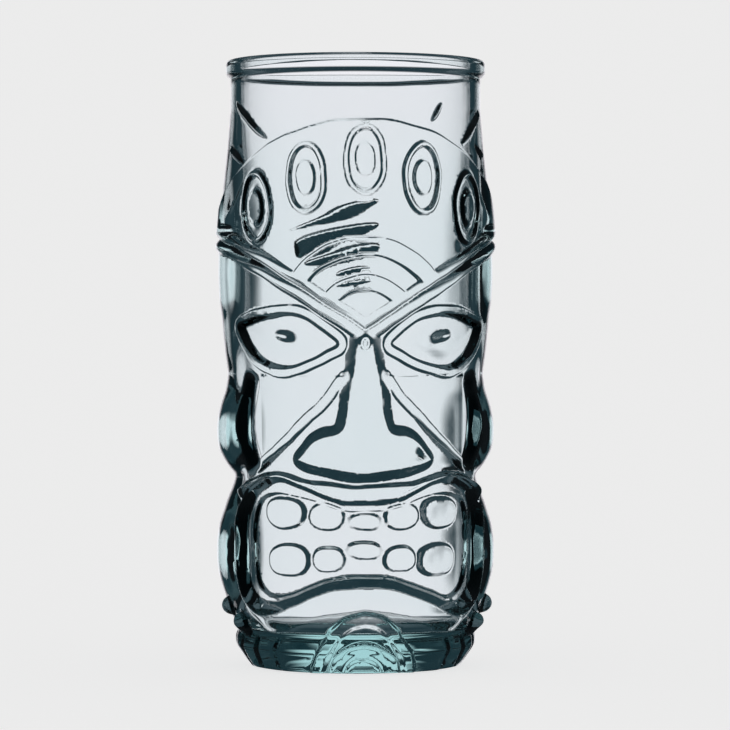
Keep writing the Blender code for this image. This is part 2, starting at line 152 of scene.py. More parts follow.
class GlassLook(bpy.types.PropertyGroup):
    tint: bpy.props.FloatVectorProperty(
        name="Tint", description="Colour that a thick stretch of the glass leaves", size=3,
        default=(0.20, 0.72, 0.71), min=0, max=1, subtype="COLOR")
    density: bpy.props.FloatProperty(
        name="Tint depth", description="How fast the tint builds up, per metre", default=17.0,
        min=0, max=200)
    index: bpy.props.FloatProperty(
        name="Index", description="Refractive index of soda-lime glass", default=1.52,
        min=1.3, max=1.8)
    ripple: bpy.props.FloatProperty(
        name="Ripple", description="Height of the slow waves that pressing leaves",
        default=0.06 * MM, min=0, max=0.001, unit="LENGTH")


class StageLook(bpy.types.PropertyGroup):
    backdrop: bpy.props.FloatProperty(
        name="Backdrop", description="Brightness of the pale floor and backdrop",
        default=0.74, min=0, max=2)
    room: bpy.props.FloatProperty(
        name="Room light", description="Even soft light that the floor receives",
        default=0.12, min=0, max=2)
    field: bpy.props.FloatProperty(
        name="Lit field", description="Brightness of the surroundings behind the glass",
        default=1.0, min=0, max=5)
    field_colour: bpy.props.FloatVectorProperty(
        name="Field colour", description="Colour of the lit surroundings", size=3,
        default=(0.965, 0.945, 0.99), min=0, max=1, subtype="COLOR")
    dark_colour: bpy.props.FloatVectorProperty(
        name="Dark colour", description="Colour of the dark room round the lit field", size=3,
        default=(0.016, 0.036, 0.046), min=0, max=1, subtype="COLOR")
    side_colour: bpy.props.FloatVectorProperty(
        name="Side colour", description="Colour of the dim walls to the sides", size=3,
        default=(0.075, 0.10, 0.115), min=0, max=1, subtype="COLOR")
    squeeze: bpy.props.FloatProperty(
        name="Squeeze", description="How much lower than wide the lit field is",
        default=1.05, min=0.2, max=5)
    lit_angle: bpy.props.FloatProperty(
        name="Lit angle", description="How far from the line of sight the field stays bright",
        default=math.radians(15), subtype="ANGLE")
    dark_angle: bpy.props.FloatProperty(
        name="Dark angle", description="Where the field has fallen off to the dark side",
        default=math.radians(26), subtype="ANGLE")
    distance: bpy.props.FloatProperty(
        name="Camera distance", description="From the tumbler's axis to the camera",
        default=1.025, min=0.3, max=5, unit="LENGTH")
    camera_height: bpy.props.FloatProperty(
        name="Camera height", description="Height of the camera above the floor",
        default=0.0961, min=0, max=2, unit="LENGTH")
    turn: bpy.props.FloatProperty(
        name="Camera turn", description="How far round the front the camera stands",
        default=math.radians(-4.0), subtype="ANGLE")
    lens: bpy.props.FloatProperty(
        name="Lens", description="Focal length in millimetres on a 36 mm sensor",
        default=181.7, min=20, max=400)


# --------------------------------------------------------------------------- curves and fields


def smooth_route(points, steps=8, closed=False):
    """A Catmull-Rom curve through the points, with this many steps between each pair."""
    spots = np.array(points, float)
    count = len(spots)
    last = count if closed else count - 1
    picks = np.arange(last)[:, None] + np.array([-1, 0, 1, 2])
    picks = picks % count if closed else np.clip(picks, 0, count - 1)
    before, start, end, after = (spots[picks[:, k]][:, None, :] for k in range(4))
    t = (np.arange(steps) / steps)[None, :, None]
    route = (
        2 * start
        + (end - before) * t
        + (2 * before - 5 * start + 4 * end - after) * t ** 2
        + (3 * start - before - 3 * end + after) * t ** 3
    ) / 2
    route = route.reshape(-1, 2)
    return route if closed else np.vstack([route, spots[-1:]])


def on_wall(points):
    """(angle in degrees, height) places as (across, height) in millimetres."""
    return [(angle * PER_DEGREE, height) for angle, height in points]


def both_sides(half):
    """A closed outline from its right half, which starts and ends at the middle of the face."""
    return list(half) + [(-across, height) for across, height in reversed(half) if across > 0]


def rise(low, high, value):
    """0 below low and 1 above high, with an even S between."""
    share = np.clip((value - low) / (high - low), 0, 1)
    return share * share * (3 - 2 * share)


def path_distance(points, path, closed=False):
    """How far each point is from a line of (across, height) stops, up to FAR away."""
    stops = np.array(path, float)
    near = ((points > stops.min(axis=0) - FAR) & (points < stops.max(axis=0) + FAR)).all(axis=1)
    close = points[near]
    ends = np.roll(stops, -1, axis=0) if closed else stops[1:]
    best = np.full(len(close), FAR * FAR)
    for start, end in zip(stops, ends):
        run = end - start
        length = run @ run
        if length == 0:
            continue
        gap = close - start
        share = np.clip(gap @ run / length, 0, 1)
        gap -= share[:, None] * run
        best = np.minimum(best, np.einsum("ij,ij->i", gap, gap))
    distance = np.full(len(points), FAR)
    distance[near] = np.sqrt(best)
    return distance


def outline_distance(points, outline):
    """How far each point is outside a closed outline: negative inside it."""
    stops = np.array(outline, float)
    near = ((points > stops.min(axis=0)) & (points < stops.max(axis=0))).all(axis=1)
    across, height = points[near].T
    within = np.zeros(len(across), bool)
    for (x0, z0), (x1, z1) in zip(stops, np.roll(stops, -1, axis=0)):
        if z0 == z1:
            continue
        crosses = (z0 > height) != (z1 > height)
        within ^= crosses & (across < x0 + (height - z0) * (x1 - x0) / (z1 - z0))
    distance = path_distance(points, stops, closed=True)
    distance[near] *= np.where(within, -1.0, 1.0)
    return distance


def half_round(distance, radius, height):
    """A half-round bead across a line: this high in the middle and this wide each side."""
    return height * np.sqrt(np.clip(1 - (distance / radius) ** 2, 0, 1))


def wall_profile(points, heights):
    """The wall's radius at these heights, its corners softened as the mould's are."""
    grid = np.arange(*PROFILE_ENDS, PROFILE_STEP)
    known = np.array(points, float)
    radii = np.interp(grid, known[:, 0], known[:, 1])
    steps = int(3 * WALL_SOFTNESS / PROFILE_STEP)
    reach = np.arange(-steps, steps + 1) * PROFILE_STEP
    weights = np.exp(-(reach / WALL_SOFTNESS) ** 2 / 2)
    padded = np.pad(radii, steps, mode="edge")
    radii = np.convolve(padded, weights / weights.sum(), mode="valid")
    return np.interp(heights, grid, radii)


# --------------------------------------------------------------------------- the relief

# The headband. Its ends are degrees from the front
EDGE = 0.35
CROWN_TOP, CROWN_DROP, CROWN_PROUD, CROWN_EDGE, CROWN_TUCK = 150.0, 26.0, 1.1, 0.45, 0.5
CROWN_ENDS = (94, 84)
CORD_LOW, CORD_RISE, CORD_GAP, CORD_RADIUS, CORD_PROUD = 95.2, 25.0, 3.9, 1.9, 1.8
CORD_ENDS = (122, 104)
OVALS = ((0.0, 139.0, 0.0), (25.0, 134.2, 2.5), (49.5, 126.5, 6.0))
OVAL_OUTER, OVAL_CHANNEL, OVAL_BOSS = (5.8, 9.8), (4.5, 8.4), (2.7, 4.7)
OVAL_RIM_PROUD, OVAL_BOSS_PROUD, CHANNEL_EDGE = 0.8, 0.75, 0.3
FOREHEAD_CENTRE, FOREHEAD_PROUD = 94.0, 0.75
FOREHEAD_BANDS = ((19.3, 24.2), (9.8, 14.0))

# The eyes
EYE = on_wall([
    (11, 89.4), (16, 92.6), (24, 96.2), (33, 97.6), (45, 97.0), (56, 95.4), (61.5, 94.0),
    (58, 90.2), (51, 86.2), (43, 83.6), (34.5, 83.0), (25, 84.6), (17, 87.0),
])
EYE_OUTER, EYE_INNER, EYEBALL = (2.7, 2.1), (0.4, -0.7), (-0.7, -6.0)
EYE_PROUD, EYE_SUNK, EYEBALL_PROUD, PUPIL_PROUD = 1.0, 0.9, 1.2, 1.4
PUPIL = (35.0, 91.4, 4.6, 1.9, math.radians(80))
PUPIL_ROUND = (1.0, 0.1)

# The nose
NOSE_TOP = (0.0, 89.9, 1.2, 2.0)
NOSE_TOP_PROUD, NOSE_TOP_EDGE, NOSE_TOP_RING = 0.5, 0.25, (-0.9, -0.4)
NOSE_PROUD, NOSE_SWELL, NOSE_SWELL_ENDS, NOSE_FLANK = 2.2, 1.6, (92, 60), 1.6
BRIDGE_PROUD, BRIDGE_WIDTH, BRIDGE_ENDS = 0.5, 3.2, (54, 62)
NOSTRIL_ACROSS, NOSTRIL_HEIGHT, NOSTRIL_HALF, NOSTRIL_SUNK = 12.0, 60.0, (3.0, 2.4), 1.1
NOSE = [
    (0, 93.0), (2.2, 92.0), (3.6, 88.0), (4.2, 84.5), (5.4, 76.0), (6.7, 68.2), (8.2, 66.4),
    (11.0, 65.9), (14.0, 64.4), (16.6, 61.6), (18.6, 58.9), (17.8, 57.2), (12.3, 55.3),
    (6.0, 54.0), (0, 53.6),
]

# The cheeks
FOLD = on_wall([(9.0, 81.0), (15.5, 75.0), (25.0, 69.0), (40.0, 60.5), (51.5, 56.0)])
GROOVE = on_wall([(54.5, 78.6), (57.5, 74.0), (58.5, 68.0), (57.0, 62.0), (54.0, 57.8)])
FOLD_HALF, FOLD_PROUD = 1.5, 0.85
CREASE_PROUD, CREASE_TOP, CREASE_BOTTOM, CREASE_SIDE = 0.4, (81.2, 80.7), (56, 60), (52, 48)
GROOVE_ENDS, GROOVE_SUNK = (4.2, 0.6), 2.5

# The mouth
MOUTH = both_sides(on_wall([
    (0, 46.9), (9, 47.3), (17, 48.6), (25.5, 50.9), (33, 52.6), (39, 53.2), (45, 52.2),
    (54, 48.8), (60.5, 42.2), (61.6, 34.5), (60.8, 27.0), (57.2, 21.4), (50.5, 18.2),
    (42, 17.8), (32, 20.0), (22, 22.6), (11, 24.6), (0, 25.3),
]))
OPENING = both_sides(on_wall([
    (0, 44.3), (9, 44.8), (19, 46.4), (30.4, 48.4), (42, 48.8), (50.5, 46.6), (54.4, 41.5),
    (55.0, 34.5), (53.6, 27.0), (49, 22.8), (41, 20.9), (30, 22.9), (22, 24.9), (11, 26.6),
    (0, 27.3),
]))
UPPER_LIP = both_sides(on_wall([
    (0, 51.3), (12, 51.7), (24, 52.5), (34, 54.0), (44.5, 54.3), (53.5, 52.8), (63.5, 49.8),
    (58, 46), (45, 49), (30, 48), (12, 46), (0, 45.6),
]))
LIP_PROUD, LIP_FLAT, LIP_WIDTH = 2.5, 0.25, 1.6
LOWER_LIP_WIDER, LOWER_LIP_ENDS = 3.2, (50, 44)
CHIN_WIDER, CHIN_TOP, CHIN_SIDES = 8.0, (27, 20), (36, 24)
UPPER_LIP_PROUD, UPPER_LIP_EDGE = 2.0, (0.5, -0.7)
LIP_FLANK, CORNER_FLANK = 1.35, 0.6
CORNER, CORNER_SIZE = (33, 18), (9, 6)
MOUTH_SUNK, OPENING_SUNK = 0.3, 0.8
TEETH = (
    (0.0, 41.6, 4.8, 2.2), (17.0, 43.0, 5.0, 3.5), (37.0, 43.8, 6.6, 4.1),
    (0.0, 33.9, 4.8, 2.3), (16.0, 31.5, 4.7, 3.4), (35.4, 31.0, 6.7, 4.3),
)
TOOTH_STEP, TOOTH_DOME, TOOTH_EDGE, TOOTH_FLAT = 1.0, 0.3, 0.45, 0.2
TOOTH_EDGE_SQUARE, TOOTH_DOME_SQUARE = 2.3, 2.2

# The beads, the leaves and the tuft
BEADS = ((66.5, 12.5, 2.6, 3.2), (78.8, 17.4, 2.1, 2.7))
BEAD_PROUD, LEAF_PROUD = 3.0, 1.0
LEAVES = (
    ((-73.9, 155.6), (-46.6, 145.0), 1.3), ((-78.6, 143.3), (-62.2, 138.8), 1.1),
    ((73.0, 153.6), (50.7, 143.9), 1.3), ((72.3, 140.6), (63.3, 144.0), 1.1),
    ((38.5, 154.8), (31.6, 149.5), 1.0),
)
TUFT = (
    ((-143, 119.2), (164, 127.4), 1.6, 2.2), ((-152, 115.2), (163.7, 121.9), 2.7, 0.6),
    ((-157, 112.0), (163, 116.1), 1.7, 1.0), ((-173.6, 109.0), (168.5, 111.2), 1.2, 1.0),
    ((-172, 105.8), (167.5, 107.4), 0.9, 1.0),
)
TUFT_CREST, TUFT_SLOPE = -0.8, 0.74

# The chin's ridges as (route, half width, flat half width, height), and the flutes round the foot
CHIN = (
    ([(0, 15.3), (4.5, 14.3), (8.0, 11.6), (10.4, 8.2), (14.5, 2.0), (16.5, -2.0)], 2.4, 1.1, 1.2),
    ([(0, 8.2), (4.0, 7.6), (7.3, 6.0), (9.6, 3.9), (11.8, 0.0)], 1.0, 0.0, 0.6),
    ([(0, 4.7), (2.6, 4.2), (4.8, 2.8), (6.6, 0.0)], 0.8, 0.0, 0.4),
)
FLUTE_FIRST, FLUTE_LAST, FLUTE_STEP, FLUTE_LEAN = 42.0, 185, 15.33, 6.0
FLUTE_TOP, FLUTE_FOOT, FLUTE_HALF = 8.7, 1.6, 1.4
FLUTE_SUNK, FLUTE_FADE, FLUTE_FADE_ENDS = 1.1, 0.8, (110, 140)

# Where the side's profile takes over from the front's, and the back's from both, in degrees
BACK_ENDS, SIDE_START, SIDE_END = (80, 130), (58, 72), (132, 110)


def slope(low, high, value):
    """0 below low and 1 above high, with a straight flank between."""
    return np.clip((value - low) / (high - low), 0, 1)


def stack(level, bump):
    """The wall with a bump on it, and untouched where the bump has ended."""
    return np.where(bump > 0, np.maximum(level, bump), level)


def bell(value, centre, width):
    return np.exp(-((value - centre) / width) ** 2)


def wander(points):
    """The small wanderings of a mould that was cut by hand."""
    across, height = points.T
    shifted = points.copy()
    shifted[:, 0] += 0.14 * np.sin(0.45 * height + 0.25 * across)
    shifted[:, 0] += 0.05 * np.sin(0.83 * height - 0.7 * across + 1.7)
    shifted[:, 1] += 0.14 * np.sin(0.4 * across - 0.2 * height + 0.6)
    shifted[:, 1] += 0.05 * np.sin(0.67 * across + 0.9 * height + 2.1)
    return shifted


def cord_height(angle):
    """The cords climb from between the eyes to the sides, and run level behind them."""
    swing = np.where(np.abs(angle) < 90, np.abs(np.sin(np.radians(angle))), 1.0)
    return CORD_LOW + CORD_RISE * swing


def oval_reach(points, centre, half, lean=0.0, square=2.0):
    """0 at the middle of an oval and 1 on its edge. square over 2 squares its corners."""
    across = points[:, 0] - centre[0] * PER_DEGREE
    up = points[:, 1] - centre[1]
    side = across * math.cos(lean) - up * math.sin(lean)
    along = up * math.cos(lean) + across * math.sin(lean)
    return (np.abs(side / half[0]) ** square + np.abs(along / half[1]) ** square) ** (1 / square)


def oval_distance(points, centre, half, lean=0.0, square=2.0):
    """About how far each point is outside an oval, in millimetres."""
    return (oval_reach(points, centre, half, lean, square) - 1) * min(half)


def pip(points, centre, half, proud, lean=0.0, square=2.0):
    """A rounded pip that stands on the wall."""
    reach = oval_reach(points, centre, half, lean, square)
    return proud * np.sqrt(np.clip(1 - reach ** 2, 0, 1))


def leaf(points, start, end, half_width, proud, crest=0.0, swell=1.0):
    """A pointed stroke from start to end. Its back can lie off the middle, by crest, and it is
    widest near its start where swell is under 1, and near its end where swell is over 1."""
    first = np.array([start[0] * PER_DEGREE, start[1]])
    run = np.array([end[0] * PER_DEGREE, end[1]]) - first
    length = math.hypot(*run)
    gap = points - first
    share = gap @ run / length ** 2
    side = gap @ np.array([-run[1], run[0]]) / length
    along = np.clip(share, 0, 1) ** swell
    width = half_width * np.sqrt(4 * along * (1 - along)) + 1e-6
    off = side / width - crest
    reach = np.where(off > 0, off / (1 - crest), -off / (1 + crest))
    return proud * np.clip(1 - reach, 0, 1) * width / half_width


def headband(points, angle, level):
    """The raised crown with its ovals and forehead arches, and the two cords under it."""
    arc = CROWN_TOP - CROWN_DROP * (angle / 90) ** 2
    upper = cord_height(angle)
    below_arc = arc - points[:, 1]
    above_cord = points[:, 1] - upper
    crown = CROWN_PROUD * slope(-CROWN_EDGE, CROWN_EDGE, below_arc) * rise(*CROWN_ENDS, angle)
    crown = crown * (above_cord > -CROWN_TUCK)
    for centre_angle, height, lean in OVALS:
        place, lean = (centre_angle, height), math.radians(lean)
        outer = oval_distance(points, place, OVAL_OUTER, lean)
        channel = oval_distance(points, place, OVAL_CHANNEL, lean)
        boss = oval_distance(points, place, OVAL_BOSS, lean)
        rim = slope(EDGE, -EDGE, outer) * slope(-CHANNEL_EDGE, CHANNEL_EDGE, channel)
        crown = crown + OVAL_RIM_PROUD * rim + OVAL_BOSS_PROUD * slope(EDGE, -EDGE, boss)
    radius = np.hypot(points[:, 0], points[:, 1] - FOREHEAD_CENTRE)
    for low, high in FOREHEAD_BANDS:
        band = slope(low - EDGE, low + EDGE, radius) * slope(high + EDGE, high - EDGE, radius)
        crown = crown + FOREHEAD_PROUD * band * (above_cord > 0)
    level = level + crown
    steepness = CORD_RISE * np.abs(np.cos(np.radians(angle))) / UNROLLED_RADIUS
    square_on = np.where(angle < 90, np.cos(np.arctan(steepness)), 1.0)
    for drop in (0.0, CORD_GAP):
        distance = (points[:, 1] - upper + drop) * square_on
        cord = half_round(distance, CORD_RADIUS, CORD_PROUD) * rise(*CORD_ENDS, angle)
        level = stack(level, cord)
    return level


def eyes(points, level):
    """A raised rim round a sunk eye, whose ball and pupil stand out again."""
    distance = outline_distance(points, smooth_route(EYE, 6, closed=True))
    inside = slope(*EYE_INNER, distance)
    rim = EYE_PROUD * slope(*EYE_OUTER, distance) * (1 - inside)
    ball = EYEBALL_PROUD * rise(*EYEBALL, distance) - EYE_SUNK * inside
    angle, height, half_width, half_height, lean = PUPIL
    reach = oval_reach(points, (angle, height), (half_height, half_width), lean)
    return level + rim + ball + PUPIL_PROUD * rise(*PUPIL_ROUND, reach)


def nose(points, level):
    """The nose with its bridge and nostrils, and a drop-shaped ring between the eyes."""
    across, height = points.T
    outline = smooth_route(both_sides(NOSE), 4, closed=True)
    distance = outline_distance(points, outline)
    proud = NOSE_PROUD + NOSE_SWELL * rise(*NOSE_SWELL_ENDS, height)
    bridge = BRIDGE_PROUD * bell(across, 0, BRIDGE_WIDTH) * rise(*BRIDGE_ENDS, height)
    nostril = bell(across, NOSTRIL_ACROSS, NOSTRIL_HALF[0]) * bell(height, NOSTRIL_HEIGHT, NOSTRIL_HALF[1])
    flank = slope(NOSE_FLANK, -NOSE_FLANK, distance)
    body = (proud + bridge - NOSTRIL_SUNK * nostril) * flank
    level = np.maximum(level, body + level * (1 - flank))
    place, up, half_width, half_height = NOSE_TOP
    drop = oval_distance(points, (place, up), (half_width, half_height))
    ring = slope(NOSE_TOP_EDGE, -NOSE_TOP_EDGE, drop) * slope(*NOSE_TOP_RING, drop)
    return level + NOSE_TOP_PROUD * ring


def cheeks(points, angle, level):
    """A fold that falls from the nose, the crease beside it and the groove in front of the ear."""
    height = points[:, 1]
    fold = half_round(path_distance(points, smooth_route(FOLD)), FOLD_HALF, FOLD_PROUD)
    crease = slope(*CREASE_TOP, height) * rise(*CREASE_BOTTOM, height) * rise(*CREASE_SIDE, angle)
    groove = rise(*GROOVE_ENDS, path_distance(points, smooth_route(GROOVE)))
    return level + fold + CREASE_PROUD * crease - GROOVE_SUNK * groove


def mouth(points, level):
    """The proud lips, the steep flank inside them, the opening in it and the teeth."""
    across, height = points.T
    lips = outline_distance(points, smooth_route(MOUTH, 6, closed=True))
    inner = outline_distance(points, smooth_route(OPENING, 6, closed=True))
    upper = outline_distance(points, smooth_route(UPPER_LIP, 4, closed=True))
    plateau = UPPER_LIP_PROUD * slope(*UPPER_LIP_EDGE, upper)
    chin = rise(*CHIN_TOP, height) * rise(*CHIN_SIDES, across)
    share = lips / (LIP_WIDTH + LOWER_LIP_WIDER * rise(*LOWER_LIP_ENDS, height) + CHIN_WIDER * chin)
    crest = LIP_PROUD * rise(1.0, LIP_FLAT, share) * (1 - chin)
    crest = crest + LIP_PROUD * slope(1.0, 0.0, share) * chin
    level = stack(stack(level, plateau), crest)
    corner = bell(across, CORNER[0], CORNER_SIZE[0]) * bell(height, CORNER[1], CORNER_SIZE[1])
    flank = LIP_FLANK + CORNER_FLANK * corner
    inside = -MOUTH_SUNK - OPENING_SUNK * slope(EDGE, -EDGE, inner)
    level = inside + (level - inside) * slope(-1, 1, lips / flank)
    for angle, up, half_width, half_height in TEETH:
        centre, half = (angle, up), (half_width, half_height)
        edge = oval_distance(points, centre, half, square=TOOTH_EDGE_SQUARE)
        dome = rise(1.0, TOOTH_FLAT, oval_reach(points, centre, half, square=TOOTH_DOME_SQUARE))
        level = level + TOOTH_STEP * slope(TOOTH_EDGE, -TOOTH_EDGE, edge) + TOOTH_DOME * dome
    return level


def foot_relief(points, level):
    """Concentric chin ridges, and the slanted flutes round the foot."""
    chin = np.zeros(len(points))
    for route, half_width, flat, proud in CHIN:
        distance = path_distance(points, smooth_route(route))
        chin = np.maximum(chin, proud * rise(half_width, flat, distance))
    level = level + chin
    first = FLUTE_FIRST
    while first < FLUTE_LAST:
        path = on_wall([(first, FLUTE_TOP), (first + FLUTE_LEAN, FLUTE_FOOT)])
        depth = FLUTE_SUNK - FLUTE_FADE * rise(*FLUTE_FADE_ENDS, first)
        level = level - depth * rise(FLUTE_HALF, 0.0, path_distance(points, path))
        first += FLUTE_STEP
    return level


def pressed_radius(angle, height, depth):
    """The outer radius in millimetres where the mould's relief has been pressed in."""
    turn = np.abs(angle)
    front, side, back = (wall_profile(line, height) for line in (FRONT_WALL, SIDE_WALL, BACK_WALL))
    plain = front + (back - front) * rise(*BACK_ENDS, turn)
    level = (side - plain) * rise(*SIDE_START, turn) * rise(*SIDE_END, turn)
    points = wander(np.stack([angle * PER_DEGREE, height], axis=1))
    own_side = points.copy()
    points[:, 0] = np.abs(points[:, 0])
    level = mouth(points, level)
    level = cheeks(points, turn, level)
    level = nose(points, level)
    level = eyes(points, level)
    level = headband(points, turn, level)
    level = foot_relief(points, level)
    for place, up, half_width, half_height in BEADS:
        level = stack(level, pip(points, (place, up), (half_width, half_height), BEAD_PROUD))
    for start, end, half_width in LEAVES:
        level = level + leaf(own_side, start, end, half_width, LEAF_PROUD)
    seam = np.stack([np.where(angle < 0, angle + 360, angle) * PER_DEGREE, height], axis=1)
    for start, end, half_width, swell in TUFT:
        start = (start[0] % 360, start[1])
        proud = TUFT_SLOPE * (1 - TUFT_CREST) * half_width
        level = level + leaf(seam, start, end, half_width, proud, TUFT_CREST, swell)
    return plain + level * depth


# --------------------------------------------------------------------------- the piece

RIM_INSET = 0.1 * MM
FLOOR_DIP, FLOOR_RING, FLOOR_RISE = 0.5 * MM, 6 * MM, 0.12 * MM
CORNER_STEPS, HOLLOW_STEPS = 8, 14
WALL_FOOT = 0.4 * MM
UNDER_STEPS, UNDER_RISE, UNDER_EDGE = 6, 1.2 * MM, 0.25 * MM
REFINE_FILLS = (0.5, 1.0)
FACE_SHARES = ((1, 1, 1, 1), (3, 1, 1, 3), (1, 3, 3, 1), (1, 1, 3, 3), (3, 3, 1, 1))
RIPPLE_SCALE, RIPPLE_DETAIL = 55.0, 1.5


def select_only(item):
    bpy.ops.object.select_all(action="DESELECT")
    item.select_set(True)
    bpy.context.view_layer.objects.active = item


def hollow_line(shape):
    """The hollow from the middle of its floor to just under the lip, as (radius, height)."""
    low = shape.floor_height - FLOOR_DIP
    line = [(0.0, low)]
    for step in range(1, 4):
        line.append((FLOOR_RING * step, low + FLOOR_RISE * step))
    for step in range(CORNER_STEPS + 1):
        turn = math.pi / 2 * step / CORNER_STEPS
        across = shape.floor_radius - shape.floor_corner * (1 - math.sin(turn))
        line.append((across, shape.floor_height + shape.floor_corner * (1 - math.cos(turn))))
    start, height = line[-1]
    rise_left = RIM_HIGH.z - shape.rim_tube - height
    for step in range(1, HOLLOW_STEPS + 1):
        share = step / HOLLOW_STEPS
        across = shape.floor_radius + (shape.mouth_radius - shape.floor_radius) * share
        line.append((across, height + rise_left * share))
    return line


def lip_line(shape):
    """The rounded lip from its inner edge over the top to the neck, as (radius, height)."""
    inner, outer, neck = shape.mouth_radius, RIM_HIGH.x - RIM_INSET, NECK * MM
    lip = [
        (inner, -shape.rim_tube), (inner + 0.05 * MM, -2.0 * MM), (inner + 0.35 * MM, -0.8 * MM),
        (inner + 1.1 * MM, -0.2 * MM), ((inner + outer) / 2, 0.0), (outer - 1.0 * MM, -0.12 * MM),
        (outer - 0.3 * MM, -0.5 * MM), (outer - 0.04 * MM, -1.2 * MM), (outer, -2.3 * MM),
        (outer - 0.04 * MM, -3.6 * MM), (outer - 0.35 * MM, -4.3 * MM),
        (neck + 0.5 * MM, -4.75 * MM), (neck + 0.12 * MM, -5.1 * MM),
    ]
    return [(radius, RIM_HIGH.z + drop) for radius, drop in smooth_route(lip, 3)[1:]]


def foot_line(shape):
    """The foot's rounded edge and its slightly hollowed underside, as (radius, height)."""
    line = [
        (shape.foot_radius + 0.7 * MM, 0.08 * MM), (shape.foot_radius, 0.0),
        (shape.foot_radius - 1.2 * MM, 0.05 * MM),
    ]
    for step in range(1, UNDER_STEPS):
        share = 1 - step / UNDER_STEPS
        height = UNDER_RISE * (1 - share ** 2) + UNDER_EDGE
        line.append(((shape.foot_radius - 2.4 * MM) * share, height))
    return line + [(0.0, UNDER_RISE + UNDER_EDGE)]


def cross_section(shape):
    """Half of the glass cut through its axis, from the hollow's floor to the foot."""
    start = RIM_HIGH.z - shape.rim_tube * 1.2
    rows = round(start / shape.row)
    wall = [
        (NECK * MM, start * (1 - step / rows) + WALL_FOOT * step / rows) for step in range(rows + 1)
    ]
    return hollow_line(shape) + lip_line(shape) + wall + foot_line(shape)


def spin_blank(shape):
    """The turned blank: a ring of points laid along the cross-section and spun about the axis."""
    section = cross_section(shape)
    bpy.ops.object.select_all(action="DESELECT")
    bpy.ops.mesh.primitive_circle_add(vertices=len(section), radius=shape.mouth_radius)
    blank = bpy.context.object
    blank.name = "tiki_tumbler"
    blank.data.name = "tiki_tumbler"
    begin = math.radians(-FRONT_REACH)
    for vertex, (radius, height) in zip(blank.data.vertices, section):
        vertex.co = (radius * math.sin(begin), -radius * math.cos(begin), height)
    last = len(section) - 1
    bpy.ops.object.mode_set(mode="EDIT")
    bpy.ops.mesh.select_mode(type="EDGE")
    bpy.ops.mesh.select_all(action="DESELECT")
    bpy.ops.object.mode_set(mode="OBJECT")
    for edge in blank.data.edges:
        edge.select = set(edge.vertices) == {0, last}
    bpy.ops.object.mode_set(mode="EDIT")
    bpy.ops.mesh.delete(type="EDGE")
    bpy.ops.mesh.select_all(action="SELECT")
    front = 2 * FRONT_REACH
    for steps, sweep in ((shape.front_steps, front), (shape.back_steps, 360 - front)):
        bpy.ops.mesh.spin(steps=steps, angle=math.radians(-sweep), center=(0, 0, 0), axis=(0, 0, 1))
    bpy.ops.mesh.select_all(action="SELECT")
    bpy.ops.mesh.remove_doubles(threshold=MERGE)
    bpy.ops.mesh.normals_make_consistent(inside=False)
    bpy.ops.object.mode_set(mode="OBJECT")
    return blank


def vertex_places(mesh):
    places = np.empty(len(mesh.vertices) * 3)
    mesh.vertices.foreach_get("co", places)
    return places.reshape(-1, 3)


def wall_places(places):
    """Which places are on the plain outer wall, and their angle and height there."""
    radius = np.hypot(places[:, 0], places[:, 1]) / MM
    height = places[:, 2] / MM
    wall = (np.abs(radius - NECK) < ON_WALL) & (height < WALL_TOP)
    angle = np.degrees(np.arctan2(places[:, 0], -places[:, 1]))
    return wall, angle, height


def sketch_relief():
    """The relief on an even grid round the wall, so that it can be looked up fast."""
    angles = np.arange(*SKETCH_ANGLES, SKETCH_STEP / PER_DEGREE)
    heights = np.arange(-1, WALL_TOP + 1, SKETCH_STEP)
    grid_angle, grid_height = np.meshgrid(angles, heights, indexing="ij")
    level = pressed_radius(grid_angle.ravel(), grid_height.ravel(), 1.0).reshape(grid_angle.shape)

    def look_up(angle, height):
        column = (angle - angles[0]) * PER_DEGREE / SKETCH_STEP
        row = (height + 1) / SKETCH_STEP
        left = np.clip(column.astype(int), 0, len(angles) - 2)
        low = np.clip(row.astype(int), 0, len(heights) - 2)
        right_share = np.clip(column - left, 0, 1)
        top_share = np.clip(row - low, 0, 1)
        return (
            level[left, low] * (1 - right_share) * (1 - top_share)
            + level[left + 1, low] * right_share * (1 - top_share)
            + level[left, low + 1] * (1 - right_share) * top_share
            + level[left + 1, low + 1] * right_share * top_share
        )
    return look_up


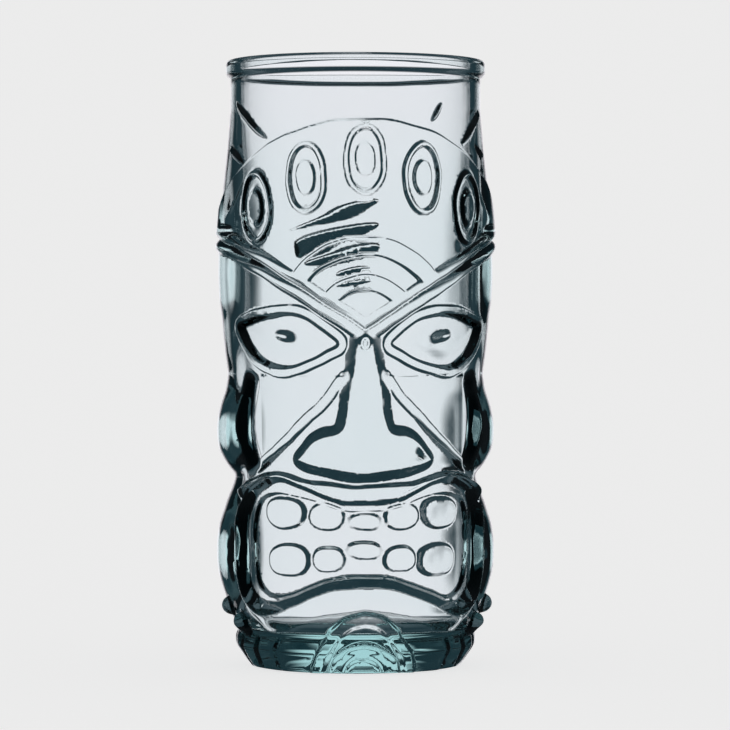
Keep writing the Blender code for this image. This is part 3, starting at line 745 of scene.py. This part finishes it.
def refine(blank, shape):
    """Subdivides the faces that the relief bends most, until the piece has its fill of faces."""
    mesh = blank.data
    look_up = sketch_relief()
    for fill in REFINE_FILLS:
        wall, angle, height = wall_places(vertex_places(mesh))
        quads = [(face.index, face.vertices[:]) for face in mesh.polygons if len(face.vertices) == 4]
        numbers = np.array([number for number, _ in quads])
        corners = np.array([corner for _, corner in quads])
        on_wall_face = wall[corners].all(axis=1)
        numbers, corners = numbers[on_wall_face], corners[on_wall_face]
        turns = angle[corners]
        over_seam = np.ptp(turns, axis=1) > 180
        turns[over_seam] += np.where(turns[over_seam] < 0, 360, 0)
        level = look_up(turns, height[corners])
        error = np.zeros(len(corners))
        for shares in FACE_SHARES:
            weights = np.array(shares) / sum(shares)
            true_level = look_up(turns @ weights, height[corners] @ weights)
            error = np.maximum(error, np.abs(true_level - level @ weights))
        triangles = sum(len(face.vertices) - 2 for face in mesh.polygons)
        room = int((shape.most_triangles - triangles) * fill / TRIANGLES_PER_SPLIT)
        order = np.argsort(-error)[:max(0, room)]
        picked = np.zeros(len(mesh.polygons), bool)
        picked[numbers[order[error[order] > shape.fineness / MM]]] = True
        bpy.ops.object.mode_set(mode="EDIT")
        bpy.ops.mesh.select_mode(type="FACE")
        bpy.ops.mesh.select_all(action="DESELECT")
        bpy.ops.object.mode_set(mode="OBJECT")
        mesh.polygons.foreach_set("select", picked)
        bpy.ops.object.mode_set(mode="EDIT")
        bpy.ops.mesh.subdivide(number_cuts=1, ngon=False, quadcorner="INNERVERT")
        bpy.ops.object.mode_set(mode="OBJECT")


def press_relief(blank, shape):
    """Moves the outer wall out and in to the mould's relief."""
    places = vertex_places(blank.data)
    wall, angle, height = wall_places(places)
    pressed = pressed_radius(angle[wall], height[wall], shape.relief)
    pressed += (NECK - pressed) * rise(*RELIEF_ENDS, height[wall])
    reach = np.hypot(places[wall, 0], places[wall, 1]) / MM
    places[wall, :2] *= (pressed / reach)[:, None]
    blank.data.vertices.foreach_set("co", places.ravel())
    blank.data.update()


def glass_material(look):
    material = bpy.data.materials.new("recycled_glass")
    material.use_nodes = True
    nodes = material.node_tree.nodes
    links = material.node_tree.links
    shader = nodes["Principled BSDF"]
    shader.inputs["Base Color"].default_value = (1, 1, 1, 1)
    shader.inputs["Roughness"].default_value = 0.0
    shader.inputs["IOR"].default_value = look.index
    shader.inputs["Transmission Weight"].default_value = 1.0
    place = nodes.new("ShaderNodeTexCoord")
    waves = nodes.new("ShaderNodeTexNoise")
    waves.inputs["Scale"].default_value = RIPPLE_SCALE
    waves.inputs["Detail"].default_value = RIPPLE_DETAIL
    links.new(place.outputs["Object"], waves.inputs["Vector"])
    bump = nodes.new("ShaderNodeBump")
    bump.inputs["Strength"].default_value = 1.0
    bump.inputs["Distance"].default_value = look.ripple
    links.new(waves.outputs["Fac"], bump.inputs["Height"])
    links.new(bump.outputs["Normal"], shader.inputs["Normal"])
    tint = nodes.new("ShaderNodeVolumeAbsorption")
    tint.inputs["Color"].default_value = (*look.tint, 1.0)
    tint.inputs["Density"].default_value = look.density
    links.new(tint.outputs["Volume"], nodes["Material Output"].inputs["Volume"])
    return material


class TIKI_OT_tumbler(bpy.types.Operator):
    """Spin the blank, press the relief into it and give it its glass"""
    bl_idname = "tiki.tumbler"
    bl_label = "Pressed Glass Tumbler"
    bl_options = {"REGISTER", "UNDO"}

    def execute(self, context):
        shape = context.scene.tumbler_shape
        piece = spin_blank(shape)
        refine(piece, shape)
        press_relief(piece, shape)
        select_only(piece)
        bpy.ops.object.shade_smooth()
        piece.data.materials.append(glass_material(context.scene.glass_look))
        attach(piece, "root")
        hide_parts("rim", "wall", "base")
        return {"FINISHED"}


# --------------------------------------------------------------------------- the stage


def pale_material(look):
    material = bpy.data.materials.new("pale_backdrop")
    material.use_nodes = True
    shader = material.node_tree.nodes["Principled BSDF"]
    shader.inputs["Base Color"].default_value = PALE
    shader.inputs["Roughness"].default_value = 1.0
    shader.inputs["Specular IOR Level"].default_value = 0.0
    shader.inputs["Emission Color"].default_value = (1, 1, 1, 1)
    shader.inputs["Emission Strength"].default_value = look.backdrop
    return material


def glow_material(name, colour, strength):
    material = bpy.data.materials.new(name)
    material.use_nodes = True
    shader = material.node_tree.nodes["Principled BSDF"]
    shader.inputs["Base Color"].default_value = (0, 0, 0, 1)
    shader.inputs["Specular IOR Level"].default_value = 0.0
    shader.inputs["Emission Color"].default_value = (*colour, 1)
    shader.inputs["Emission Strength"].default_value = strength
    return material


def add_backdrop(look):
    """A round floor that curves up into a wall on every side."""
    bpy.ops.object.select_all(action="DESELECT")
    bpy.ops.mesh.primitive_circle_add(vertices=96, radius=BOWL_RADIUS, fill_type="NGON")
    bowl = bpy.context.object
    bowl.name = "backdrop"
    bpy.ops.object.mode_set(mode="EDIT")
    bpy.ops.mesh.select_all(action="SELECT")
    radius, height = BOWL_RADIUS, 0.0
    for step in range(1, BOWL_STEPS + 1):
        turn = math.pi / 2 * step / BOWL_STEPS
        wider = BOWL_RADIUS + BOWL_BEND * math.sin(turn)
        higher = BOWL_BEND * (1 - math.cos(turn))
        bpy.ops.mesh.extrude_region_move(
            TRANSFORM_OT_translate={"value": (0, 0, higher - height)})
        bpy.ops.transform.resize(value=(wider / radius, wider / radius, 1))
        radius, height = wider, higher
    bpy.ops.mesh.extrude_region_move(TRANSFORM_OT_translate={"value": (0, 0, BOWL_WALL)})
    bpy.ops.mesh.delete(type="ONLY_FACE")
    bpy.ops.object.mode_set(mode="OBJECT")
    bpy.ops.object.shade_smooth()
    bowl.data.materials.append(pale_material(look))
    bowl.visible_transmission = False
    bowl.visible_glossy = False
    bowl.visible_diffuse = False
    return bowl


def add_camera(look):
    camera = bpy.data.objects.new("camera", bpy.data.cameras.new("camera"))
    bpy.context.scene.collection.objects.link(camera)
    camera.data.lens = look.lens
    camera.data.sensor_width = SENSOR_WIDTH
    camera.data.clip_start, camera.data.clip_end = CAMERA_CLIP
    camera.location = (
        look.distance * math.sin(look.turn), -look.distance * math.cos(look.turn), look.camera_height)
    camera.rotation_euler = (
        math.radians(90 - CAMERA_DIP), 0.0, look.turn - math.radians(CAMERA_SWING))
    bpy.context.scene.camera = camera
    return camera


def tent_material(look):
    """Light that is bright round the line of sight, and falls off smoothly to a dark room."""
    material = glow_material("light_tent", (1, 1, 1), look.field)
    nodes = material.node_tree.nodes
    links = material.node_tree.links
    place = nodes.new("ShaderNodeTexCoord")
    flat = nodes.new("ShaderNodeVectorMath")
    flat.operation = "MULTIPLY"
    flat.inputs[1].default_value = (1.0, look.squeeze, 0.0)
    links.new(place.outputs["Object"], flat.inputs[0])
    off_axis = nodes.new("ShaderNodeVectorMath")
    off_axis.operation = "LENGTH"
    links.new(flat.outputs["Vector"], off_axis.inputs[0])
    apart = nodes.new("ShaderNodeSeparateXYZ")
    links.new(place.outputs["Object"], apart.inputs["Vector"])
    behind = nodes.new("ShaderNodeMath")
    behind.operation = "GREATER_THAN"
    behind.inputs[1].default_value = 0.0
    links.new(apart.outputs["Z"], behind.inputs[0])
    reach = nodes.new("ShaderNodeMath")
    reach.operation = "MULTIPLY_ADD"
    reach.inputs[1].default_value = TENT_RADIUS
    links.new(behind.outputs["Value"], reach.inputs[0])
    links.new(off_axis.outputs["Value"], reach.inputs[2])
    share = nodes.new("ShaderNodeMapRange")
    share.interpolation_type = "SMOOTHSTEP"
    share.inputs["From Min"].default_value = TENT_RADIUS * math.sin(look.lit_angle)
    share.inputs["From Max"].default_value = TENT_RADIUS * math.sin(look.dark_angle)
    links.new(reach.outputs["Value"], share.inputs["Value"])
    colours = nodes.new("ShaderNodeMix")
    colours.data_type = "RGBA"
    colours.inputs["A"].default_value = (*look.field_colour, 1)
    links.new(share.outputs["Result"], colours.inputs["Factor"])
    aside = nodes.new("ShaderNodeMath")
    aside.operation = "ABSOLUTE"
    links.new(apart.outputs["Z"], aside.inputs[0])
    belt = nodes.new("ShaderNodeMapRange")
    belt.interpolation_type = "SMOOTHSTEP"
    belt.inputs["From Min"].default_value = TENT_RADIUS * BELT_ENDS[0]
    belt.inputs["From Max"].default_value = TENT_RADIUS * BELT_ENDS[1]
    links.new(aside.outputs["Value"], belt.inputs["Value"])
    room = nodes.new("ShaderNodeMix")
    room.data_type = "RGBA"
    room.inputs["A"].default_value = (*look.dark_colour, 1)
    room.inputs["B"].default_value = (*look.side_colour, 1)
    links.new(belt.outputs["Result"], room.inputs["Factor"])
    links.new(room.outputs["Result"], colours.inputs["B"])
    links.new(colours.outputs["Result"], nodes["Principled BSDF"].inputs["Emission Color"])
    return material


def add_tent(camera, look):
    """The surroundings that show in the glass. They turn with the camera."""
    bpy.ops.object.select_all(action="DESELECT")
    bpy.ops.mesh.primitive_uv_sphere_add(segments=64, ring_count=32, radius=TENT_RADIUS)
    tent = bpy.context.object
    tent.name = "light_tent"
    bpy.ops.object.shade_smooth()
    tent.data.materials.append(tent_material(look))
    tent.parent = camera
    tent.location = (0, 0, -look.distance)
    tent.visible_camera = False
    tent.visible_diffuse = False
    tent.visible_shadow = False


class TIKI_OT_stage(bpy.types.Operator):
    """Set up the pale floor, the camera, and the soft light that surrounds the glass"""
    bl_idname = "tiki.stage"
    bl_label = "Studio Stage"
    bl_options = {"REGISTER", "UNDO"}

    def execute(self, context):
        look = context.scene.stage_look
        world = bpy.data.worlds.new("studio")
        context.scene.world = world
        world.use_nodes = True
        sky = world.node_tree.nodes["Background"]
        sky.inputs["Color"].default_value = (1, 1, 1, 1)
        sky.inputs["Strength"].default_value = look.room
        world.cycles_visibility.transmission = False
        world.cycles_visibility.glossy = False
        add_backdrop(look)
        camera = add_camera(look)
        add_tent(camera, look)
        context.scene.view_settings.view_transform = "Standard"
        return {"FINISHED"}


class TIKI_PT_tumbler(bpy.types.Panel):
    """The tumbler's sizes, its glass and the stage"""
    bl_idname = "TIKI_PT_tumbler"
    bl_label = "Tiki Tumbler"
    bl_space_type = "VIEW_3D"
    bl_region_type = "UI"
    bl_category = "Tumbler"

    def draw(self, context):
        scene = context.scene
        for title, group in (("Shape", scene.tumbler_shape), ("Glass", scene.glass_look),
                             ("Stage", scene.stage_look)):
            box = self.layout.box()
            box.label(text=title)
            for name in group.bl_rna.properties.keys():
                if name not in ("rna_type", "name"):
                    box.prop(group, name)
        self.layout.operator(TIKI_OT_tumbler.bl_idname)
        self.layout.operator(TIKI_OT_stage.bl_idname)


CLASSES = (TumblerShape, GlassLook, StageLook, TIKI_OT_tumbler, TIKI_OT_stage, TIKI_PT_tumbler)


def register():
    for kind in CLASSES:
        bpy.utils.register_class(kind)
    bpy.types.Scene.tumbler_shape = bpy.props.PointerProperty(type=TumblerShape)
    bpy.types.Scene.glass_look = bpy.props.PointerProperty(type=GlassLook)
    bpy.types.Scene.stage_look = bpy.props.PointerProperty(type=StageLook)


def unregister():
    del bpy.types.Scene.stage_look
    del bpy.types.Scene.glass_look
    del bpy.types.Scene.tumbler_shape
    for kind in reversed(CLASSES):
        bpy.utils.unregister_class(kind)


def main():
    register()
    bpy.ops.tiki.tumbler()
    bpy.ops.tiki.stage()
    bpy.context.view_layer.update()


if __name__ == "__main__":
    main()
